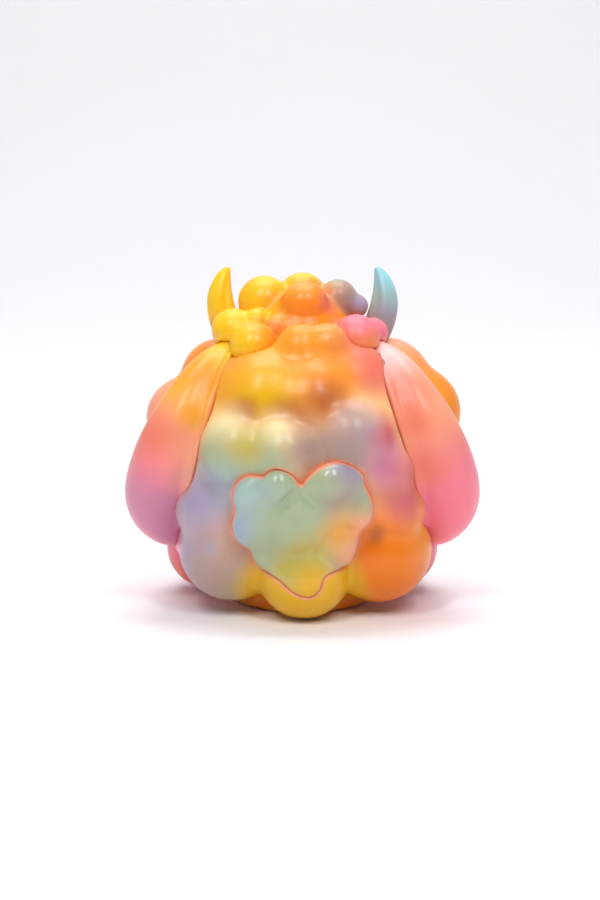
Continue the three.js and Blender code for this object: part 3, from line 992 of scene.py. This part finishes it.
class CLOUDTOY_OT_ears(Operator):
    """Make the two lop ears"""

    bl_idname = "cloud_toy.ears"
    bl_label = "Ears"

    def execute(self, context):
        for name, side in SIDES.items():
            base, rows = EAR_SPRAYS[name]
            material = airbrushed(f"Ear paint {name}", base, around(rows, 10), paint().gloss)
            low = np.array([-66 if side < 0 else 12, -50, 14])
            skin(
                f"ear_{name}_skin",
                lambda points: ear_field(points, side),
                low,
                low + [54, 60, 86],
                in_mm(shape().detail_fineness),
                f"ear_{name}_body",
                [f"ear_{name}"],
                material,
                rounds=8,
            )
        return {"FINISHED"}


# ---- Heart -----------------------------------------------------------------------------------

HEART_DROP = 16.0
HEART_EDGE = [
    [-0.7, 15],
    [-3.5, 18.7],
    [-8, 20.6],
    [-11.2, 19.3],
    [-13, 17.6],
    [-18, 17.6],
    [-21.6, 14.6],
    [-22.9, 10.3],
    [-22.2, 5.2],
    [-23.4, -0.4],
    [-21.6, -5.4],
    [-18, -8.2],
    [-16.4, -12.5],
    [-12.5, -16],
    [-8, -18.2],
    [-3, -22.2],
    [2.2, -23.8],
    [6, -21.3],
    [7.6, -17],
    [12.5, -15.2],
    [16.5, -12.6],
    [18.4, -7],
    [19, -3.2],
    [22.2, 0.8],
    [23.4, 5.2],
    [22.3, 10],
    [20.3, 14.2],
    [19.7, 17.6],
    [15.5, 21.4],
    [10, 22.4],
    [4.8, 20.2],
    [1.2, 17],
]
# Soft swellings of the heart: x, height over its middle, radius, and how far each stands out.
HEART_PUFFS = [
    [-17, 11, 7, 6.9],
    [-8, 14.5, 6, 7.1],
    [-18, -2, 7, 6.4],
    [-11, -11, 7, 6.2],
    [-3, 1, 10, 6.9],
    [9, 15.5, 8, 7.5],
    [17, 5, 7, 6.9],
    [12, -7, 8, 6.6],
]
# Folds below the heart's notch and across its right side: x, height, and how far the middle of
# the groove is from the ball.
HEART_FOLDS = [
    [[-1, 14, 5.6], [-5, 9.5, 5.5], [-11, 5.5, 6.4]],
    [[0, 13, 5.6], [3, 9, 5.7], [7.5, 7, 6.6]],
    [[5, -10, 6.3], [11, -1, 6.2], [17, -1.5, 6.4]],
]
HEART_SEAT_DEPTH = -2.2

HEART_SPRAYS = [
    ("mist", -17, 6, 4, 20),
    ("sage", -4, 2, 4, 18),
    ("sage", -8, -8, 3, 15),
    ("lilac", 14, 19, 1, 11),
    ("taupe", 12, 11, 0, 11),
    ("olive", 4, -8, 1, 14),
    ("amber", 14, -1, 0, 12),
    ("salmon", 22, 0, 0, 11),
    ("salmon", 17, -11, 0, 12),
    ("olive", -3, -16, 4, 14),
    ("gold", 5, -22, 4, 13),
    ("slate", -22, -2, 0, 9),
    ("slate", -14, -14, 0, 6),
]


def closed_curve(rows, count):
    """Points around a smooth closed curve through the rows."""
    wrapped = np.array(rows + rows[:2], float)
    places = np.linspace(0, len(rows), count, endpoint=False)
    first = places.astype(int)
    t = (places - first)[:, None]
    before = np.array(rows, float)[(first - 1) % len(rows)]
    after = np.array(rows, float)[(first + 2) % len(rows)]
    return smooth_between(before, wrapped[first], wrapped[first + 1], after, t)


def flat_distance(places, outline):
    """Signed distance to an outline in a plane, less than zero inside it."""
    nearest = np.full(len(places), 1e9)
    inside = np.zeros(len(places), bool)
    for start, end in zip(outline, np.roll(outline, -1, axis=0)):
        along = end - start
        away = places - start
        share = np.clip(away @ along / (along @ along), 0, 1)
        nearest = np.minimum(nearest, ((away - share[:, None] * along) ** 2).sum(1))
        crosses = (start[1] > places[:, 1]) != (end[1] > places[:, 1])
        slope = along[0] / (along[1] if along[1] else 1e-9)
        inside ^= crosses & (away[:, 0] < away[:, 1] * slope)
    return np.sqrt(nearest) * np.where(inside, -1, 1)


HEART_OUTLINE = closed_curve(HEART_EDGE, 96)


def heart_edge(points):
    """Distance from the heart's side wall, and far away for everything on the front."""
    middle = np.array([CENTRE[0], CENTRE[2] - HEART_DROP])
    return within(
        points,
        (-32, -64, 4),
        (32, -16, 64),
        lambda near: flat_distance(near[:, [0, 2]] - middle, HEART_OUTLINE),
    )


def heart_floor(points):
    lon, lat, radius, proud = BOTTOM_LOBE
    over_lobe = ball(points, on_ball(lon, lat, proud - radius), radius - 3)
    return np.minimum(ball(points, CENTRE, BALL_RADIUS), over_lobe)


def on_heart(x, up, out):
    """A place over the heart: x across, "up" from its middle, "out" from the ball."""
    height = up - HEART_DROP
    distance = BALL_RADIUS + out
    return CENTRE + [x, -np.sqrt(distance**2 - x**2 - height**2), height]


def heart_top(points):
    """The heart's swollen outer side, with its folds."""
    lon, lat, radius, proud = BOTTOM_LOBE
    top = ball(points, CENTRE, BALL_RADIUS + in_mm(shape().heart_proud))
    top = melt(top, ball(points, on_ball(lon, lat, proud - radius), radius + 0.3), 3.0)
    for x, up, puff, out in HEART_PUFFS:
        top = melt(top, ball(points, on_heart(x, up, out - puff), puff), 2.0)
    for fold in HEART_FOLDS:
        line = smooth_line([on_heart(*place) for place in fold], 8)
        depth = np.sin(np.linspace(0.25, 1, len(line)) * np.pi) ** 0.5
        top = carve(top, limb(points, line, 0.5 + 1.3 * depth), 1.2)
    return top


# Closeness to the heart's edge, where the seam's own colour and painted glow over the groove's shade go.
def heart_seam_glow(points):
    return np.clip(1.3 - np.abs(heart_edge(points)) / 0.7, 0, 1)


def heart_field(points):
    field = keep(heart_top(points), heart_edge(points), in_mm(shape().heart_rounding))
    return keep(field, 0.3 - heart_floor(points), 0.3)


def heart_sprays():
    return [
        (spray, CENTRE + [x, -BALL_RADIUS, up - HEART_DROP], core, reach)
        for spray, x, up, core, reach in HEART_SPRAYS
    ]


class CLOUDTOY_OT_heart(Operator):
    """Make the scalloped heart on the back"""

    bl_idname = "cloud_toy.heart"
    bl_label = "Heart"

    def execute(self, context):
        sprays = heart_sprays()
        gloss = paint().heart_gloss
        skin(
            "heart",
            heart_field,
            (-28, -60, 5),
            (28, -15, 62),
            in_mm(shape().detail_fineness),
            BODY,
            ["heart_tail"],
            # Salmon along the heart's edge: the seam's own colour, and painted glow over the shade in
            # the groove.
            airbrushed("Heart paint", "sage", sprays, gloss, 0.5, seam_glow="salmon"),
            seam_glow=heart_seam_glow,
        )
        return {"FINISHED"}


# ---- Face ------------------------------------------------------------------------------------

FACE_HALF_WIDTH = 22.0
FACE_HALF_HEIGHT = 16.5
FACE_RISE = 9.0
FACE_PROUD = 5.0
CHEEK_AWAY, CHEEK_DROP, CHEEK_RADIUS = 13, 5, 6.2
EYE_SPACING = 20.0
EYE_RISE = 2
EYE_RADIUS = 3.15
EYE_SOCKET = 3.5
NOSE_DROP = 2
NOSE_RADIUS = 2.2
SMILE_DROP = 6.2
SMILE_HALF_WIDTH = 2.8


def face_edge(points):
    """Distance from the oval wall of the face, and far away for everything on the back."""
    x = points[:, 0] - CENTRE[0]
    z = points[:, 2] - CENTRE[2] - FACE_RISE
    oval = np.sqrt((x / FACE_HALF_WIDTH) ** 2 + (z / FACE_HALF_HEIGHT) ** 2)
    slope = np.sqrt((x / FACE_HALF_WIDTH**2) ** 2 + (z / FACE_HALF_HEIGHT**2) ** 2) + 1e-6
    return np.maximum(oval * (oval - 1) / slope, 4 - points[:, 1])


def on_face(x, up):
    """A place on the face's surface, x across and "up" over the middle of the face."""
    height = FACE_RISE + up
    distance = BALL_RADIUS + FACE_PROUD
    return CENTRE + [x, np.sqrt(distance**2 - x**2 - height**2), height]


def face_field(points):
    top = ball(points, CENTRE, BALL_RADIUS + FACE_PROUD)
    for side in SIDES.values():
        cheek = on_face(side * CHEEK_AWAY, -CHEEK_DROP) - [0, 5, 0]
        top = melt(top, ball(points, cheek, CHEEK_RADIUS), 3.0)
        top = carve(top, ball(points, on_face(side * EYE_SPACING / 2, EYE_RISE), EYE_SOCKET), 0.5)
    field = keep(top, face_edge(points), 2.4)
    field = keep(field, 0.3 - ball(points, CENTRE, BALL_RADIUS), 0.3)
    across = np.linspace(-SMILE_HALF_WIDTH, SMILE_HALF_WIDTH, 9)
    smile = [on_face(x, -SMILE_DROP + x * x / 9) for x in across]
    return carve(field, limb(points, smile, [0.45] * 9), 0.5)


FACE_SPRAYS = [
    ("cream", 0, 0, 4, 16),
    ("pink", CHEEK_AWAY, -CHEEK_DROP, 1, 7),
    ("pink", -CHEEK_AWAY, -CHEEK_DROP, 1, 7),
]


class CLOUDTOY_OT_face(Operator):
    """Make the face, its eyes and its nose"""

    bl_idname = "cloud_toy.face"
    bl_label = "Face"

    def execute(self, context):
        sprays = [
            (spray, on_face(x, up), core, reach) for spray, x, up, core, reach in FACE_SPRAYS
        ]
        material = airbrushed("Face paint", "blush", sprays, paint().gloss)
        cell = in_mm(shape().detail_fineness)
        low, high = (-26, 25, 38), (26, 56, 80)
        skin("face", face_field, low, high, cell, BODY, ["face_plate"], material)
        eye_paint = airbrushed("Eye gloss", "dark", [], 0.06, 1.0)
        for name, side in SIDES.items():
            place = on_face(side * EYE_SPACING / 2, EYE_RISE)
            skin(
                f"eye_{name}_gloss",
                lambda points: ball(points, place, EYE_RADIUS),
                place - 5,
                place + 5,
                cell,
                BODY,
                [f"eye_{name}"],
                eye_paint,
            )
        place = on_face(0, -NOSE_DROP)
        skin(
            "nose_button",
            lambda points: ball((points - place) * [0.8, 1, 1] + place, place, NOSE_RADIUS),
            place - 5,
            place + 5,
            cell,
            BODY,
            ["nose"],
            airbrushed("Nose paint", "rose", [], 0.2, 0.6),
        )
        return {"FINISHED"}


# ---- Feet ------------------------------------------------------------------------------------

FOOT_RADIUS = 14.5
FOOT_PLACE = (33.0, 12.0, 15.5)


def foot_ball(points, side):
    middle = np.array(FOOT_PLACE) * [side, 1, 1]
    toe = middle + [-side * 5, 9, -4]
    return melt(ball(points, middle, FOOT_RADIUS), ball(points, toe, FOOT_RADIUS * 0.72), 4.0)


def foot_field(points, side):
    field = foot_ball(points, side)
    middle = np.array(FOOT_PLACE) * [side, 1, 1]
    for turn in (-28, 8):
        away = np.radians(turn)
        heading = np.array([np.sin(away) - side * 0.35, np.cos(away), 0])
        crease = [middle + heading * 17 + [0, 0, height] for height in (-10, -4, 2)]
        field = carve(field, limb(points, crease, [1.6, 1.6, 0.8]), 1.6)
    field = keep(field, -(ball(points, CENTRE, BALL_RADIUS) - 0.3), 0.5)
    return keep(field, 0.6 - points[:, 2], 1.2)


class CLOUDTOY_OT_feet(Operator):
    """Make the two feet"""

    bl_idname = "cloud_toy.feet"
    bl_label = "Feet"

    def execute(self, context):
        for name, side in SIDES.items():
            middle = np.array(FOOT_PLACE) * [side, 1, 1]
            sprays = [
                ("blush", middle + [0, 14, -4], 2, 16),
                ("coral", middle + [side * 10, -6, -8], 1, 12),
            ]
            skin(
                f"foot_{name}_skin",
                lambda points: foot_field(points, side),
                middle - [20, 20, 16],
                middle + [20, 26, 18],
                in_mm(shape().detail_fineness),
                BODY,
                [f"foot_{name}"],
                airbrushed(f"Foot paint {name}", "pink", sprays, paint().gloss),
            )
        return {"FINISHED"}


# ---- Pieces that keep their CAD shape ---------------------------------------------------------


def mottled(name, dark, pale, scale, detail, roughness):
    """Two close shades in soft patches."""
    material = bpy.data.materials.new(name)
    material.use_nodes = True
    tree = material.node_tree
    shader = tree.nodes["Principled BSDF"]
    coordinates = tree.nodes.new("ShaderNodeTexCoord").outputs["Object"]
    noise = add_node(tree, "ShaderNodeTexNoise", Scale=scale, Detail=detail)
    ramp = tree.nodes.new("ShaderNodeValToRGB")
    ramp.color_ramp.elements[0].color = (*dark, 1)
    ramp.color_ramp.elements[1].color = (*pale, 1)
    tree.links.new(coordinates, noise.inputs["Vector"])
    tree.links.new(noise.outputs["Fac"], ramp.inputs["Fac"])
    tree.links.new(ramp.outputs["Color"], shader.inputs["Base Color"])
    shader.inputs["Roughness"].default_value = roughness
    return material, shader


def nickel():
    """Nickel plate with a faint mottle."""
    dark, pale = (0.3, 0.31, 0.33), (0.5, 0.51, 0.53)
    material, shader = mottled("Magnet nickel", dark, pale, 800.0, 3.0, 0.3)
    shader.inputs["Metallic"].default_value = 1.0
    return material


class CLOUDTOY_OT_base(Operator):
    """Finish the base disc and the two magnets behind the skin"""

    bl_idname = "cloud_toy.base"
    bl_label = "Base and magnets"

    def execute(self, context):
        finishes = {
            # The base disc is painted umber as the shade under the toy.
            "base_plug": airbrushed("Base vinyl", "umber", [], 0.5, 0.0),
            "magnet_left": nickel(),
        }
        finishes["magnet_right"] = finishes["magnet_left"]
        for node, material in finishes.items():
            piece = frame["nodes"][node]
            piece.data.materials.clear()
            piece.data.materials.append(material)
        return {"FINISHED"}


# ---- Stage -----------------------------------------------------------------------------------

CAMERA_LENS = 85.0
CAMERA_DISTANCE = 0.73
CAMERA_ELEVATION = 10.0
CAMERA_TARGET = (-0.0008, 0.0, 0.052)
TOY_MIDDLE = (0.0, 0.0, 0.05)

# Name, place and target in metres, width, height and power.
SOFTBOXES = [
    ("strip left", (-0.3, -0.7, 0.9), TOY_MIDDLE, 0.1, 0.55, 4.4),
    ("strip right", (0.3, -0.7, 0.9), TOY_MIDDLE, 0.1, 0.55, 4.4),
    ("overhead", (0.0, 0.4, 1.25), TOY_MIDDLE, 0.9, 0.9, 6.0),
    ("backdrop", (0.0, 0.1, 1.9), (0.0, 1.4, 0.85), 1.6, 0.4, 15.5),
]


def paper():
    """The pale sweep that the toy stands on."""
    dark, pale = (0.9, 0.89, 0.92), (0.92, 0.91, 0.94)
    material, shader = mottled("Paper sweep", dark, pale, 6.0, 2.0, 0.6)
    shader.inputs["Specular IOR Level"].default_value = 0.2
    return material


def make_sweep():
    """A floor that curves up into a wall behind the toy."""
    width, depth, height, bend = 3.0, 1.4, 2.6, 0.6
    profile = [(-depth, 0.0), (depth - bend, 0.0)]
    turns = np.radians(np.linspace(-90, 0, 17)[1:])
    profile += [(depth - bend + bend * np.cos(turn), bend + bend * np.sin(turn)) for turn in turns]
    profile.append((depth, height))
    vertices = [(side * width, y, z) for y, z in profile for side in (-1, 1)]
    faces = [(2 * i, 2 * i + 1, 2 * i + 3, 2 * i + 2) for i in range(len(profile) - 1)]
    mesh = bpy.data.meshes.new("sweep")
    mesh.from_pydata(vertices, [], faces)
    mesh.polygons.foreach_set("use_smooth", np.ones(len(mesh.polygons), bool))
    mesh.materials.append(paper())
    sweep = bpy.data.objects.new("sweep", mesh)
    bpy.context.scene.collection.objects.link(sweep)


def softbox(name, place, target, width, height, power):
    light = bpy.data.lights.new(name, "AREA")
    light.shape = "RECTANGLE"
    light.size = width
    light.size_y = height
    light.energy = power
    lamp = bpy.data.objects.new(name, light)
    lamp.location = place
    aim = Vector(target) - Vector(place)
    lamp.rotation_euler = aim.to_track_quat("-Z", "Y").to_euler()
    bpy.context.scene.collection.objects.link(lamp)


def pale_room():
    """A world that is dark on the camera's side and pale behind the toy."""
    world = bpy.data.worlds.new("Pale room")
    world.use_nodes = True
    tree = world.node_tree
    back = tree.nodes["Background"]
    facing = tree.nodes.new("ShaderNodeTexCoord")
    split = tree.nodes.new("ShaderNodeSeparateXYZ")
    fade = add_node(tree, "ShaderNodeMapRange")
    fade.inputs["From Min"].default_value = -0.7
    fade.inputs["From Max"].default_value = 0.8
    fade.inputs["To Min"].default_value = 0.1
    fade.inputs["To Max"].default_value = 0.75
    tree.links.new(facing.outputs["Generated"], split.inputs["Vector"])
    tree.links.new(split.outputs["Y"], fade.inputs["Value"])
    tree.links.new(fade.outputs["Result"], back.inputs["Strength"])
    back.inputs["Color"].default_value = (0.97, 0.96, 1.0, 1.0)
    return world


def make_camera():
    camera_data = bpy.data.cameras.new("Camera")
    camera_data.lens = CAMERA_LENS
    camera = bpy.data.objects.new("Camera", camera_data)
    rise = np.radians(CAMERA_ELEVATION)
    away = Vector((0.0, -np.cos(rise), np.sin(rise))) * CAMERA_DISTANCE
    camera.location = Vector(CAMERA_TARGET) + away
    camera.rotation_euler = (-away).to_track_quat("-Z", "Y").to_euler()
    bpy.context.scene.collection.objects.link(camera)
    return camera


class CLOUDTOY_OT_stage(Operator):
    """Make the sweep, the lights and the camera"""

    bl_idname = "cloud_toy.stage"
    bl_label = "Stage"

    def execute(self, context):
        make_sweep()
        for light in SOFTBOXES:
            softbox(*light)
        context.scene.world = pale_room()
        context.scene.view_settings.view_transform = "Standard"
        context.scene.camera = make_camera()
        return {"FINISHED"}


# ---- Sidebar and registration ------------------------------------------------------------------

PIECES = (
    CLOUDTOY_OT_body,
    CLOUDTOY_OT_curls,
    CLOUDTOY_OT_horns,
    CLOUDTOY_OT_ears,
    CLOUDTOY_OT_heart,
    CLOUDTOY_OT_face,
    CLOUDTOY_OT_feet,
    CLOUDTOY_OT_base,
    CLOUDTOY_OT_stage,
)


class CLOUDTOY_PT_sidebar(Panel):
    """Lists the toy's pieces in the order in which they are made"""

    bl_idname = "CLOUDTOY_PT_sidebar"
    bl_label = "Cloud Toy"
    bl_space_type = "VIEW_3D"
    bl_region_type = "UI"
    bl_category = "Cloud Toy"

    def draw(self, context):
        column = self.layout.column()
        for settings in (context.scene.cloud_toy_shape, context.scene.cloud_toy_paint):
            for name in settings.__annotations__:
                column.prop(settings, name)
        for piece in PIECES:
            column.operator(piece.bl_idname)


CLASSES = (CloudToyShape, CloudToyPaint, *PIECES, CLOUDTOY_PT_sidebar)


def register():
    for cls in CLASSES:
        bpy.utils.register_class(cls)
    bpy.types.Scene.cloud_toy_shape = PointerProperty(type=CloudToyShape)
    bpy.types.Scene.cloud_toy_paint = PointerProperty(type=CloudToyPaint)


def unregister():
    del bpy.types.Scene.cloud_toy_paint
    del bpy.types.Scene.cloud_toy_shape
    for cls in reversed(CLASSES):
        bpy.utils.unregister_class(cls)


def main():
    register()
    for piece in PIECES:
        family, action = piece.bl_idname.split(".")
        getattr(getattr(bpy.ops, family), action)()


if __name__ == "__main__":
    main()
